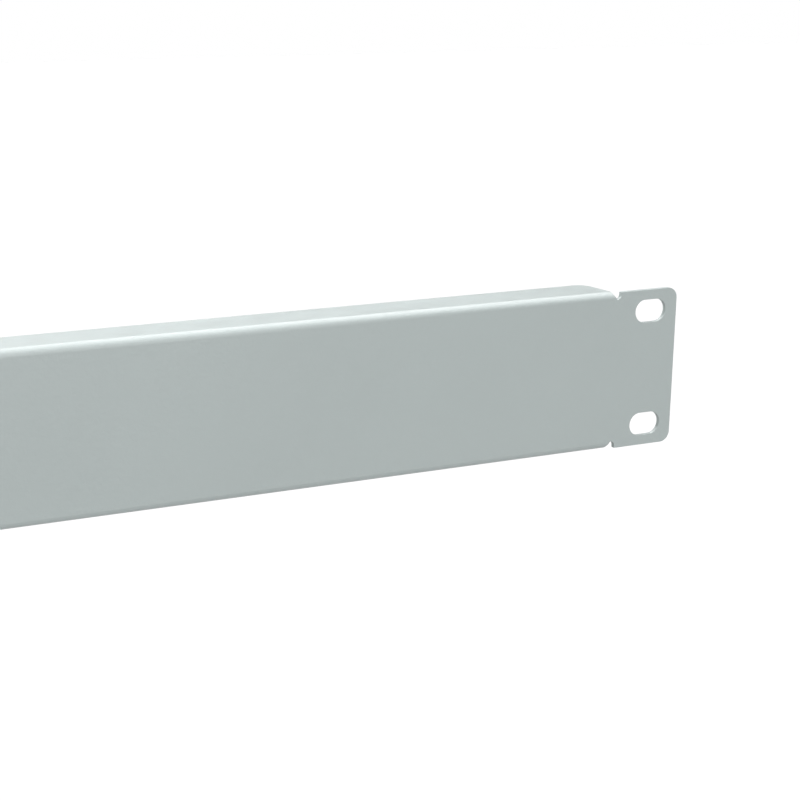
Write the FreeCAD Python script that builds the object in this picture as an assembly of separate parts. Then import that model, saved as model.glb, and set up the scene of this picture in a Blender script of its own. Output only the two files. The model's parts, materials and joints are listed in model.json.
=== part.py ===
"""Rack blanking panel, one rack unit high, folded from one sheet of steel.

The sheet has a flat front with an ear at each end. Between the ears its top
and bottom edges are folded back by 90 degrees, as two flanges that stiffen it.
A relief notch parts each fold from its ear, and each ear has two screw slots.

Millimetres. X runs along the panel, Z is up, and the front looks along -Y.
The origin is the centre of the four slots, on the ears' rear faces, which is
where the panel seats on the rails of a rack.
"""
import FreeCAD, Part
import os
from math import pi, radians, sin, tan
from FreeCAD import Placement, Rotation, Vector

# Rack standard
PANEL_WIDTH = 482.6           # end to end, 19 inches
RACK_UNIT_HEIGHT = 44.45      # of the space that the panel covers
UNIT_CLEARANCE = 0.85         # how much lower the panel is than its space
SLOT_FROM_END = 8.75          # slot centre to the panel's end
SLOT_FROM_UNIT_EDGE = 6.35    # slot centre to the edge of the rack unit

# Sheet and folds
SHEET_THICKNESS = 1.2
BEND_RADIUS = 0.8             # inside radius of both folds
PANEL_DEPTH = 13.1            # front face to the flanges' rear edges
NEUTRAL_SHARE = 0.4           # share of the sheet inside its unstretched layer

# Ears and slots
EAR_WIDTH = 18.8
EAR_CORNER_RADIUS = 3.0
SLOT_LENGTH = 10.0
SLOT_HEIGHT = 6.3

# Relief notches and flange ends
RELIEF_RADIUS = 1.25          # at the root of the ear's inner edge
RELIEF_SLANT = 45.0           # degrees, of the fold's end in the flat blank
FLANGE_SET_BACK = 1.1         # from the start of that slant to the flange's end
FLANGE_END_LEAN = 5.5         # degrees that the flange's end leans inwards
FLANGE_CORNER_RADIUS = 4.0    # at the flange's rear corners

# Derived sizes
PANEL_HEIGHT = RACK_UNIT_HEIGHT - UNIT_CLEARANCE
SLOT_SPAN = PANEL_WIDTH - 2 * SLOT_FROM_END
SLOT_RISE = RACK_UNIT_HEIGHT - 2 * SLOT_FROM_UNIT_EDGE
OUTER_RADIUS = BEND_RADIUS + SHEET_THICKNESS
NEUTRAL_RADIUS = BEND_RADIUS + NEUTRAL_SHARE * SHEET_THICKNESS

# Derived places
END_X = PANEL_WIDTH / 2
EDGE_Z = PANEL_HEIGHT / 2
REAR_Y = PANEL_DEPTH - SHEET_THICKNESS
BEND_Y = BEND_RADIUS                    # axis of the top fold
BEND_Z = EDGE_Z - OUTER_RADIUS
EAR_X = END_X - EAR_WIDTH               # inner edge of the ear
SLANT_X = EAR_X - RELIEF_RADIUS         # where the fold's end starts, on the front
FLANGE_X = SLANT_X - FLANGE_SET_BACK    # end of the flange, at the fold
FLANGE_REAR_X = FLANGE_X - (REAR_Y - BEND_Y) * tan(radians(FLANGE_END_LEAN))


def corner_arc(before, corner, after, radius):
    """Start, middle and end of the arc that rounds a corner."""
    back = (before - corner).normalize()
    ahead = (after - corner).normalize()
    halving = (back + ahead).normalize()
    half_angle = back.getAngle(ahead) / 2
    reach = radius / tan(half_angle)
    middle = corner + halving * (radius / sin(half_angle) - radius)
    return corner + back * reach, middle, corner + ahead * reach


def outline(corners):
    """Flat face from corners (point, radius); a radius of 0 leaves one sharp."""
    stretches = []
    for i, (point, radius) in enumerate(corners):
        before = corners[i - 1][0]
        after = corners[(i + 1) % len(corners)][0]
        stretches.append(corner_arc(before, point, after, radius) if radius else [point])
    edges = []
    for i, stretch in enumerate(stretches):
        following = stretches[(i + 1) % len(stretches)]
        if len(stretch) == 3:
            edges.append(Part.Arc(*stretch).toShape())
        if not stretch[-1].isEqual(following[0], 1e-6):
            edges.append(Part.LineSegment(stretch[-1], following[0]).toShape())
    return Part.Face(Part.Wire(edges))


def all_round(quarter, y):
    """Corners of an outline at depth y, from those in its right upper quarter."""
    corners = []
    for right, up in ((1, 1), (-1, 1), (-1, -1), (1, -1)):
        in_order = quarter if right == up else quarter[::-1]
        corners += [(Vector(right * x, y, up * z), radius) for x, z, radius in in_order]
    return corners


def both_sides(shape, normal):
    """A shape and its mirror image across the plane through the origin."""
    return [shape, shape.mirror(Vector(0, 0, 0), normal)]


def front_plate():
    """Flat front up to the folds, with an ear at each end."""
    corners = all_round([
        (END_X, EDGE_Z, EAR_CORNER_RADIUS),
        (EAR_X, EDGE_Z, 0),
        (EAR_X, BEND_Z, RELIEF_RADIUS),
    ], -SHEET_THICKNESS)
    return outline(corners).extrude(Vector(0, SHEET_THICKNESS, 0))


def slot_cutters():
    """The four screw slots, round-ended, through the ears."""
    end_radius = SLOT_HEIGHT / 2
    before_front = -2 * SHEET_THICKNESS
    corners = all_round([(SLOT_LENGTH / 2, SLOT_HEIGHT / 2, end_radius)], before_front)
    cutter = outline(corners).extrude(Vector(0, 3 * SHEET_THICKNESS, 0))
    cutter.translate(Vector(SLOT_SPAN / 2, 0, SLOT_RISE / 2))
    upper = both_sides(cutter, Vector(1, 0, 0))
    return [slot for each in upper for slot in both_sides(each, Vector(0, 0, 1))]


def square_fold(half_length):
    """Top fold as a quarter ring with square ends."""
    corner = Vector(-half_length, -SHEET_THICKNESS, BEND_Z)
    edge_of_front = Part.makePlane(2 * half_length, SHEET_THICKNESS, corner)
    return edge_of_front.revolve(Vector(0, BEND_Y, BEND_Z), Vector(-1, 0, 0), 90)


def slant_cutter():
    """What a slanted cut in the flat blank takes off the top fold's right end.

    The slant is straight in the blank, so it winds round the fold as a helix.
    """
    overrun = radians(10)
    margin = BEND_RADIUS / 2
    advance = NEUTRAL_RADIUS * tan(radians(RELIEF_SLANT))      # along X, a radian
    run = advance * (pi / 2 + overrun)
    helix = Part.makeHelix(2 * pi * advance, run, OUTER_RADIUS)
    section = Part.makePolygon([
        Vector(BEND_RADIUS - margin, 0, 0),
        Vector(OUTER_RADIUS + margin, 0, 0),
        Vector(OUTER_RADIUS + margin, 0, -run),
        Vector(BEND_RADIUS - margin, 0, -run),
        Vector(BEND_RADIUS - margin, 0, 0),
    ])
    cutter = helix.makePipeShell([section], True, True)
    round_the_fold = Rotation(Vector(0, -1, 0), Vector(0, 0, 1), Vector(-1, 0, 0), "XYZ")
    cutter.Placement = Placement(Vector(SLANT_X, BEND_Y, BEND_Z), round_the_fold)
    return cutter


def top_fold():
    """Top fold: slanted ends next to the front, square ends next to the flange."""
    slanted = square_fold(SLANT_X).cut(both_sides(slant_cutter(), Vector(1, 0, 0)))
    return slanted.fuse(square_fold(FLANGE_X))


def top_flange():
    """Top flange, flat, with leaning ends and rounded rear corners."""
    corners = [
        (Vector(-FLANGE_X, BEND_Y, EDGE_Z), 0),
        (Vector(FLANGE_X, BEND_Y, EDGE_Z), 0),
        (Vector(FLANGE_REAR_X, REAR_Y, EDGE_Z), FLANGE_CORNER_RADIUS),
        (Vector(-FLANGE_REAR_X, REAR_Y, EDGE_Z), FLANGE_CORNER_RADIUS),
    ]
    return outline(corners).extrude(Vector(0, 0, -SHEET_THICKNESS))


def panel():
    """The whole folded sheet, as one solid."""
    folded_back = []
    for piece in (top_fold(), top_flange()):
        folded_back += both_sides(piece, Vector(0, 0, 1))
    sheet = front_plate().cut(slot_cutters()).multiFuse(folded_back)
    return sheet.removeSplitter().Solids[0]


os.makedirs("parts", exist_ok=True)
panel().exportStep("parts/blanking_panel.step")
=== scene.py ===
"""Rack blanking panel: one folded sheet with a light grey powder coat.

The panel is made as a maker makes it. The blank is cut out flat, with its
notches and slots, and is then folded up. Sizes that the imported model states
are read from it, and the panel's other sizes are written in millimetres. The
scene is in metres, with X along the panel, Y towards its rear and Z up.
"""
import json
from math import cos, pi, radians, sin, tan

import bmesh
import bpy
from mathutils import Matrix, Vector
from mathutils.geometry import delaunay_2d_cdt


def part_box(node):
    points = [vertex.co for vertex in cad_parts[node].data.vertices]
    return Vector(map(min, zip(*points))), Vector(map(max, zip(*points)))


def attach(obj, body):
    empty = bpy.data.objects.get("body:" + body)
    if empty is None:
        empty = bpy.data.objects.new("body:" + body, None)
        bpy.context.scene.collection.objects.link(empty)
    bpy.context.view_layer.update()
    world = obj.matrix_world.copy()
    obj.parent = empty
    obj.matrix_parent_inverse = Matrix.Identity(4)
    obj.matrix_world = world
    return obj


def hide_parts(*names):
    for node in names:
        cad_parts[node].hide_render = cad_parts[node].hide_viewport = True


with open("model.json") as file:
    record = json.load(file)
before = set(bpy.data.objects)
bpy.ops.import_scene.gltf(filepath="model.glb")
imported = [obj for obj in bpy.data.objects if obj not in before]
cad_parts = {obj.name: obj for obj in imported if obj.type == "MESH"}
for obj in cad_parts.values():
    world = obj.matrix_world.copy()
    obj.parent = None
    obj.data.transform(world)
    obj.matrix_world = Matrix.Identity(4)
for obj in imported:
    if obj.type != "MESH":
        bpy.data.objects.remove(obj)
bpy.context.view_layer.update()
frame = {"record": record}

NODE = "blanking_panel"

MM = 0.001
LOW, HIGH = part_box(NODE)
SCREW_SLOTS = next(m for m in frame["record"]["mounts"] if m["name"] == "rack_slots")["dims"]

# Sheet and folds
THICKNESS = -LOW.y                      # the ears' rear faces lie at y = 0
INSIDE_RADIUS = 0.8 * MM
NEUTRAL_SHARE = 0.4                     # share of the sheet inside its unstretched layer
NEUTRAL_RADIUS = INSIDE_RADIUS + NEUTRAL_SHARE * THICKNESS
QUARTER_FOLD = NEUTRAL_RADIUS * pi / 2  # length of a fold in the blank

# Ears, relief notches and flanges
EAR_WIDTH = 18.8 * MM
EAR_CORNER = 3.0 * MM
RELIEF_ROOT = 1.25 * MM                 # radius at the root of the ear's inner edge
FLANGE_SET_BACK = 1.1 * MM              # from the start of the fold's slanted end
FLANGE_LEAN = radians(5.5)              # of the flange's end, inwards
FLANGE_CORNER = 4.0 * MM
FLANGE_LENGTH = HIGH.y - INSIDE_RADIUS

# Places in the blank's right upper quarter
END_X = HIGH.x
EDGE_Z = HIGH.z
FOLD_Z = EDGE_Z - INSIDE_RADIUS - THICKNESS
EAR_X = END_X - EAR_WIDTH
SLANT_X = EAR_X - RELIEF_ROOT
FLANGE_X = SLANT_X - FLANGE_SET_BACK
FLANGE_REAR_X = FLANGE_X - FLANGE_LENGTH * tan(FLANGE_LEAN)
REAR_Z = FOLD_Z + QUARTER_FOLD + FLANGE_LENGTH

# Screw slots
SLOT_X = SCREW_SLOTS["spacing_x_mm"] / 2 * MM
SLOT_Z = SCREW_SLOTS["spacing_y_mm"] / 2 * MM
SLOT_RADIUS = SCREW_SLOTS["hole_r_mm"] * MM
SLOT_LENGTH = SCREW_SLOTS["slot_length_mm"] * MM

# The coat rounds every cut edge and sharp corner
EDGE_ROUND = 0.12 * MM
CORNER_ROUND = 0.25 * MM

# Fineness of the mesh
EDGE_STEPS = 3
ARC_STEP = radians(6)
FEWEST_ARC_STEPS = 3
FOLD_STEPS = 16
SAME_POINT = 1e-6                       # points of an outline that are nearer become one
CREASE_ACCURACY = 1e-7
FILL_ACCURACY = 1e-9
HOLES_LEFT_OPEN = 5                     # delaunay_2d_cdt's output type for faces round holes

# Powder coat, with the scale of each noise in cells per metre
COAT_COLOUR = (0.50, 0.56, 0.553)
NOISE_SPAN = (0.3, 0.7)                 # where most values of a noise lie
CLOUD_SCALE = 18.0
CLOUD_TONES = (0.985, 1.015)
PATCH_SCALE = 260.0
PATCH_ROUGHNESS = (0.30, 0.38)
PEEL_SCALE = 850.0
PEEL_DEPTH = 0.2 * MM
PEEL_STRENGTH = 0.4

# Floor and room, where a brightness of 1 is white
WHITE = (1, 1, 1, 1)
FLOOR_DROP = 0.30                       # below the panel
FLOOR_HALF = 4.0
FLOOR_COLOUR = (0.25, 0.25, 0.25, 1)
FLOOR_ROUGHNESS = 0.9
FLOOR_SEEN = 0.75                       # its own brightness to the camera
FLOOR_MIRRORED = 0.55                   # and as the coat mirrors it
CEILING_MIRRORED = 4.0
CEILING_RISE = (0.35, 0.6)              # upward share of a direction, where it brightens
WALLS_MIRRORED = 1.15
WALLS_FADE = (0.1, 0.7)                 # sideways share of a direction, where they darken
ROOM_LIGHT = 0.38                       # the room's light on every surface

# The photograph's view
CAMERA_PLACE = (-0.1269, -0.4709, 0.1354)
CAMERA_TURN = radians(30.863)           # to the right, from square to the front
CAMERA_TILT = radians(14.005)           # downwards
CAMERA_ROLL = radians(1.570)
FOCAL_LENGTH_MM = 98.9
SENSOR_WIDTH_MM = 36.0
NEAREST_SEEN = 0.01


# The blank

def rounded(corners):
    """Points along a closed outline from corners (x, z, radius); 0 leaves one sharp."""
    points = []
    for i, (x, z, radius) in enumerate(corners):
        corner = Vector((x, z))
        if radius == 0:
            points.append(corner)
            continue
        back = (Vector(corners[i - 1][:2]) - corner).normalized()
        ahead = (Vector(corners[(i + 1) % len(corners)][:2]) - corner).normalized()
        turn = pi - back.angle(ahead)
        centre = corner + (back + ahead).normalized() * radius / cos(turn / 2)
        start, end = (corner + way * radius * tan(turn / 2) - centre for way in (back, ahead))
        steps = max(FEWEST_ARC_STEPS, round(turn / ARC_STEP))
        points += [centre + radius * start.slerp(end, step / steps) for step in range(steps + 1)]
    return [point for i, point in enumerate(points) if (point - points[i - 1]).length > SAME_POINT]


def all_round(quarter):
    """Corners of a closed outline, from those in its right upper quarter."""
    corners = []
    for right, up in ((1, 1), (-1, 1), (-1, -1), (1, -1)):
        in_order = quarter if right == up else quarter[::-1]
        corners += [(right * x, up * z, radius) for x, z, radius in in_order]
    return corners


def blank_outline():
    """The outer edge of the blank, with the sheet on its left-hand side."""
    return rounded(all_round([
        (END_X, EDGE_Z, EAR_CORNER),
        (EAR_X, EDGE_Z, CORNER_ROUND),
        (EAR_X, FOLD_Z, RELIEF_ROOT),
        (SLANT_X, FOLD_Z, 0),
        (FLANGE_X, FOLD_Z + SLANT_X - FLANGE_X, CORNER_ROUND),
        (FLANGE_X, FOLD_Z + QUARTER_FOLD, CORNER_ROUND),
        (FLANGE_REAR_X, REAR_Z, FLANGE_CORNER),
    ]))


def slot_outline(x, z):
    """The edge of a round-ended screw slot, also with the sheet on its left."""
    edge = rounded(all_round([(SLOT_LENGTH / 2, SLOT_RADIUS, SLOT_RADIUS)]))
    return [Vector((x, z)) + point for point in reversed(edge)]


def moved_in(outline, distance):
    """An outline moved into the sheet."""
    moved = []
    for i, point in enumerate(outline):
        before = (point - outline[i - 1]).normalized().orthogonal()
        after = (outline[(i + 1) % len(outline)] - point).normalized().orthogonal()
        moved.append(point + (before + after) * distance / (1 + before.dot(after)))
    return moved


def edge_profile():
    """Distance into the sheet and depth of each ring round a cut edge, front to rear."""
    turns = [pi / 2 * i / EDGE_STEPS for i in range(EDGE_STEPS + 1)]
    front = [(EDGE_ROUND * (1 - sin(a)), EDGE_ROUND * (1 - cos(a)) - THICKNESS) for a in turns]
    return front + [(inwards, -THICKNESS - depth) for inwards, depth in reversed(front)]


def cover(work, rims):
    """Flat faces inside an outer rim, with the other rims left open as holes."""
    rim_verts = [vert for rim in rims for vert in rim]
    places = [vert.co.xz for vert in rim_verts]
    loops, start = [], 0
    for rim in rims:
        loops.append(list(range(start, start + len(rim))))
        start += len(rim)
    filled = delaunay_2d_cdt(places, [], loops, HOLES_LEFT_OPEN, FILL_ACCURACY)
    faces, origins = filled[2], filled[3]
    for face in faces:
        work.faces.new([rim_verts[origins[i][0]] for i in face])


def crease(work):
    """Cuts rows of edges along both folds, so that they bend smoothly."""
    for side in (-1, 1):
        for i in range(FOLD_STEPS + 1):
            height = side * (FOLD_Z + QUARTER_FOLD * i / FOLD_STEPS)
            bmesh.ops.bisect_plane(
                work, geom=work.verts[:] + work.edges[:] + work.faces[:], dist=CREASE_ACCURACY,
                plane_co=(0, 0, height), plane_no=(0, 0, 1))


def flat_blank():
    """The cut and creased blank, standing, with its rear face at y = 0."""
    outlines = [blank_outline()]
    outlines += [slot_outline(x, z) for x in (-SLOT_X, SLOT_X) for z in (-SLOT_Z, SLOT_Z)]
    work = bmesh.new()
    front_rims, rear_rims = [], []
    for outline in outlines:
        rings = [[work.verts.new((x, depth, z)) for x, z in moved_in(outline, inwards)]
                 for inwards, depth in edge_profile()]
        for ring, following in zip(rings, rings[1:]):
            for i in range(len(ring)):
                work.faces.new((ring[i - 1], ring[i], following[i], following[i - 1]))
        front_rims.append(rings[0])
        rear_rims.append(rings[-1])
    cover(work, front_rims)
    cover(work, rear_rims)
    crease(work)
    bmesh.ops.recalc_face_normals(work, faces=work.faces)
    mesh = bpy.data.meshes.new("panel")
    work.to_mesh(mesh)
    work.free()
    return mesh


# Node helpers

class Nodes:
    """Adds nodes to a tree and links them in one call."""

    def __init__(self, tree):
        self.tree = tree

    def add(self, kind, inputs=(), **settings):
        """A node whose inputs, by name or number, take values or other nodes' outputs."""
        node = self.tree.nodes.new(kind)
        for name, value in settings.items():
            setattr(node, name, value)
        for key, value in dict(inputs).items():
            self.feed(value, node.inputs[key])
        return node

    def feed(self, value, socket):
        if isinstance(value, bpy.types.NodeSocket):
            self.tree.links.new(value, socket)
        else:
            socket.default_value = value

    def math(self, operation, *values):
        node = self.add("ShaderNodeMath", enumerate(values), operation=operation)
        return node.outputs[0]

    def noise(self, place, scale, detail):
        node = self.add("ShaderNodeTexNoise", {"Vector": place, "Scale": scale, "Detail": detail})
        return node.outputs["Fac"]

    def ramp(self, value, span, levels):
        """Goes evenly from the first level to the second across a span of the value."""
        node = self.add("ShaderNodeMapRange", {
            "Value": value, "From Min": span[0], "From Max": span[1],
            "To Min": levels[0], "To Max": levels[1]})
        return node.outputs[0]


# The folding

def folding_tree():
    """Geometry nodes that fold the standing blank back along its two creases.

    A point keeps its distance along the unstretched layer. Past the crease
    that distance first turns round the fold, and the rest runs on flat.
    """
    tree = bpy.data.node_groups.new("fold_the_blank", "GeometryNodeTree")
    ports = tree.interface
    ports.new_socket("Blank", in_out="INPUT", socket_type="NodeSocketGeometry")
    for name in ("Fold Height", "Inside Radius", "Neutral Radius", "Fold Half Length"):
        ports.new_socket(name, in_out="INPUT", socket_type="NodeSocketFloat")
    ports.new_socket("Coat", in_out="INPUT", socket_type="NodeSocketMaterial")
    ports.new_socket("Panel", in_out="OUTPUT", socket_type="NodeSocketGeometry")

    n = Nodes(tree)
    given = n.add("NodeGroupInput").outputs
    place = n.add("GeometryNodeInputPosition").outputs[0]
    x, y, z = n.add("ShaderNodeSeparateXYZ", {0: place}).outputs
    height = n.math("ABSOLUTE", z)
    past = n.math("SUBTRACT", height, given["Fold Height"])
    full = n.math("MULTIPLY", given["Neutral Radius"], pi / 2)
    turned = n.math("MAXIMUM", n.math("MINIMUM", past, full), 0.0)
    angle = n.math("DIVIDE", turned, given["Neutral Radius"])
    flat_run = n.math("MAXIMUM", n.math("SUBTRACT", past, full), 0.0)

    radius = n.math("SUBTRACT", given["Inside Radius"], y)
    towards_front = n.math("MULTIPLY", radius, n.math("COSINE", angle))
    back = n.math("SUBTRACT", given["Inside Radius"], towards_front)
    new_y = n.math("ADD", back, flat_run)
    below_fold = n.math("MINIMUM", height, given["Fold Height"])
    up = n.math("ADD", below_fold, n.math("MULTIPLY", radius, n.math("SINE", angle)))
    new_z = n.math("MULTIPLY", up, n.math("SIGN", z))
    folded = n.add("ShaderNodeCombineXYZ", {0: x, 1: new_y, 2: new_z}).outputs[0]

    between_ears = n.math("LESS_THAN", n.math("ABSOLUTE", x), given["Fold Half Length"])
    moved = n.add("GeometryNodeSetPosition", {
        "Geometry": given["Blank"], "Selection": between_ears, "Position": folded})
    solid = n.add("GeometryNodeRealizeInstances", {"Geometry": moved.outputs[0]})
    coated = n.add("GeometryNodeSetMaterial", {
        "Geometry": solid.outputs[0], "Material": given["Coat"]})
    n.add("NodeGroupOutput", {"Panel": coated.outputs[0]})
    return tree


def fold_up(mesh, coat):
    """The folded panel as a finished object."""
    piece = bpy.data.objects.new("panel", mesh)
    bpy.context.scene.collection.objects.link(piece)
    folding = piece.modifiers.new("fold", "NODES")
    folding.node_group = folding_tree()
    values = {
        "Fold Height": FOLD_Z,
        "Inside Radius": INSIDE_RADIUS,
        "Neutral Radius": NEUTRAL_RADIUS,
        "Fold Half Length": SLANT_X + EDGE_ROUND / 2,  # between the fold's end and the ear
        "Coat": coat,
    }
    for item in folding.node_group.interface.items_tree:
        if item.in_out == "INPUT" and item.name in values:
            folding[item.identifier] = values[item.name]
    shading = piece.modifiers.new("even shading", "WEIGHTED_NORMAL")
    shading.keep_sharp = False
    mesh.shade_smooth()
    depsgraph = bpy.context.evaluated_depsgraph_get()
    finished = bpy.data.meshes.new_from_object(piece.evaluated_get(depsgraph))
    piece.modifiers.clear()
    piece.data = finished
    return piece


# Finishes

def powder_coat():
    """Light grey satin powder coat: an orange peel, patches of gloss and faint clouds."""
    material = bpy.data.materials.new("powder_coat_grey")
    material.use_nodes = True
    tree = material.node_tree
    n = Nodes(tree)
    shader = tree.nodes["Principled BSDF"]
    place = n.add("ShaderNodeTexCoord").outputs["Object"]
    clouds = n.noise(place, CLOUD_SCALE, detail=2.0)
    tone = n.ramp(clouds, NOISE_SPAN, CLOUD_TONES)
    colour = n.add("ShaderNodeVectorMath", {0: COAT_COLOUR, "Scale": tone}, operation="SCALE")
    n.feed(colour.outputs[0], shader.inputs["Base Color"])
    patches = n.noise(place, PATCH_SCALE, detail=3.0)
    n.feed(n.ramp(patches, NOISE_SPAN, PATCH_ROUGHNESS), shader.inputs["Roughness"])
    peel = n.noise(place, PEEL_SCALE, detail=3.0)
    bump = n.add("ShaderNodeBump", {
        "Height": peel, "Strength": PEEL_STRENGTH, "Distance": PEEL_DEPTH})
    n.feed(bump.outputs[0], shader.inputs["Normal"])
    return material


def floor_paint():
    """Matt paint that is white to the camera, and clear from underneath."""
    material = bpy.data.materials.new("floor_white")
    material.use_nodes = True
    tree = material.node_tree
    n = Nodes(tree)
    shader = tree.nodes["Principled BSDF"]
    n.feed(FLOOR_COLOUR, shader.inputs["Base Color"])
    n.feed(FLOOR_ROUGHNESS, shader.inputs["Roughness"])
    n.feed(WHITE, shader.inputs["Emission Color"])
    rays = n.add("ShaderNodeLightPath").outputs
    seen = n.math("MULTIPLY", rays["Is Camera Ray"], FLOOR_SEEN)
    mirrored = n.math("MULTIPLY", rays["Is Glossy Ray"], FLOOR_MIRRORED)
    n.feed(n.math("ADD", seen, mirrored), shader.inputs["Emission Strength"])
    material.cycles.emission_sampling = "NONE"
    underneath = n.add("ShaderNodeNewGeometry").outputs["Backfacing"]
    clear = n.add("ShaderNodeBsdfTransparent").outputs[0]
    surface = n.add("ShaderNodeMixShader", {0: underneath, 1: shader.outputs[0], 2: clear})
    n.feed(surface.outputs[0], tree.nodes["Material Output"].inputs["Surface"])
    return material


# Stage

def floor():
    """Large floor, well below the panel."""
    mesh = bpy.data.meshes.new("floor")
    height = LOW.z - FLOOR_DROP
    corners = [(-1, -1), (1, -1), (1, 1), (-1, 1)]
    mesh.from_pydata(
        [(FLOOR_HALF * x, FLOOR_HALF * y, height) for x, y in corners], [], [(0, 1, 2, 3)])
    ground = bpy.data.objects.new("floor", mesh)
    bpy.context.scene.collection.objects.link(ground)
    mesh.materials.append(floor_paint())


def surroundings():
    """An even room, white to the camera, with a bright ceiling and bright walls to mirror.

    The walls are bright in front of the panel and behind it, and fade to its sides.
    """
    world = bpy.data.worlds.new("surroundings")
    bpy.context.scene.world = world
    world.use_nodes = True
    tree = world.node_tree
    tree.nodes.clear()
    n = Nodes(tree)
    direction = n.add("ShaderNodeTexCoord").outputs["Generated"]
    x, _, z = n.add("ShaderNodeSeparateXYZ", {0: direction}).outputs
    ceiling = n.ramp(z, CEILING_RISE, (0.0, CEILING_MIRRORED))
    walls = n.ramp(n.math("ABSOLUTE", x), WALLS_FADE, (WALLS_MIRRORED, 0.0))
    rays = n.add("ShaderNodeLightPath").outputs
    lit = n.math("MULTIPLY", rays["Is Diffuse Ray"], ROOM_LIGHT)
    mirrored = n.math("MULTIPLY", rays["Is Glossy Ray"], n.math("ADD", ceiling, walls))
    strength = n.math("ADD", n.math("ADD", lit, mirrored), rays["Is Camera Ray"])
    room = n.add("ShaderNodeBackground", {"Color": WHITE, "Strength": strength})
    n.add("ShaderNodeOutputWorld", {"Surface": room.outputs[0]})


def soft_box(name, place, target, size, power):
    """A rectangular lamp, long across the panel, that faces a point."""
    light = bpy.data.lights.new(name, "AREA")
    light.shape = "RECTANGLE"
    light.size, light.size_y = size
    light.energy = power
    holder = bpy.data.objects.new(name, light)
    holder.location = place
    holder.rotation_euler = (Vector(target) - Vector(place)).to_track_quat("-Z", "Y").to_euler()
    holder.visible_camera = False
    bpy.context.scene.collection.objects.link(holder)


def camera():
    """The photograph's view, from the left and a little above."""
    data = bpy.data.cameras.new("camera")
    data.sensor_width = SENSOR_WIDTH_MM
    data.lens = FOCAL_LENGTH_MM
    data.clip_start = NEAREST_SEEN
    holder = bpy.data.objects.new("camera", data)
    holder.location = CAMERA_PLACE
    turn = Matrix.Rotation(-CAMERA_TURN, 3, "Z")
    tilt = Matrix.Rotation(pi / 2 - CAMERA_TILT, 3, "X")
    roll = Matrix.Rotation(CAMERA_ROLL, 3, "Z")
    holder.rotation_euler = (turn @ tilt @ roll).to_euler()
    bpy.context.scene.collection.objects.link(holder)
    bpy.context.scene.camera = holder


panel = fold_up(flat_blank(), powder_coat())
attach(panel, "root")
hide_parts(NODE)

floor()
surroundings()
soft_box("fill_in_front", place=(0.3, -2.4, 0.35), target=(0, 0, 0), size=(2.0, 1.2), power=26.3)
soft_box("lamp_above", place=(0.90, 0.20, 1.70), target=(0, 0, 0), size=(1.7, 0.8), power=12.5)
soft_box("lamp_on_the_left", place=(-0.90, 0.25, 0.90), target=(-0.1, 0, 0),
         size=(0.6, 0.6), power=10.5)
camera()
bpy.context.scene.view_settings.view_transform = "Standard"
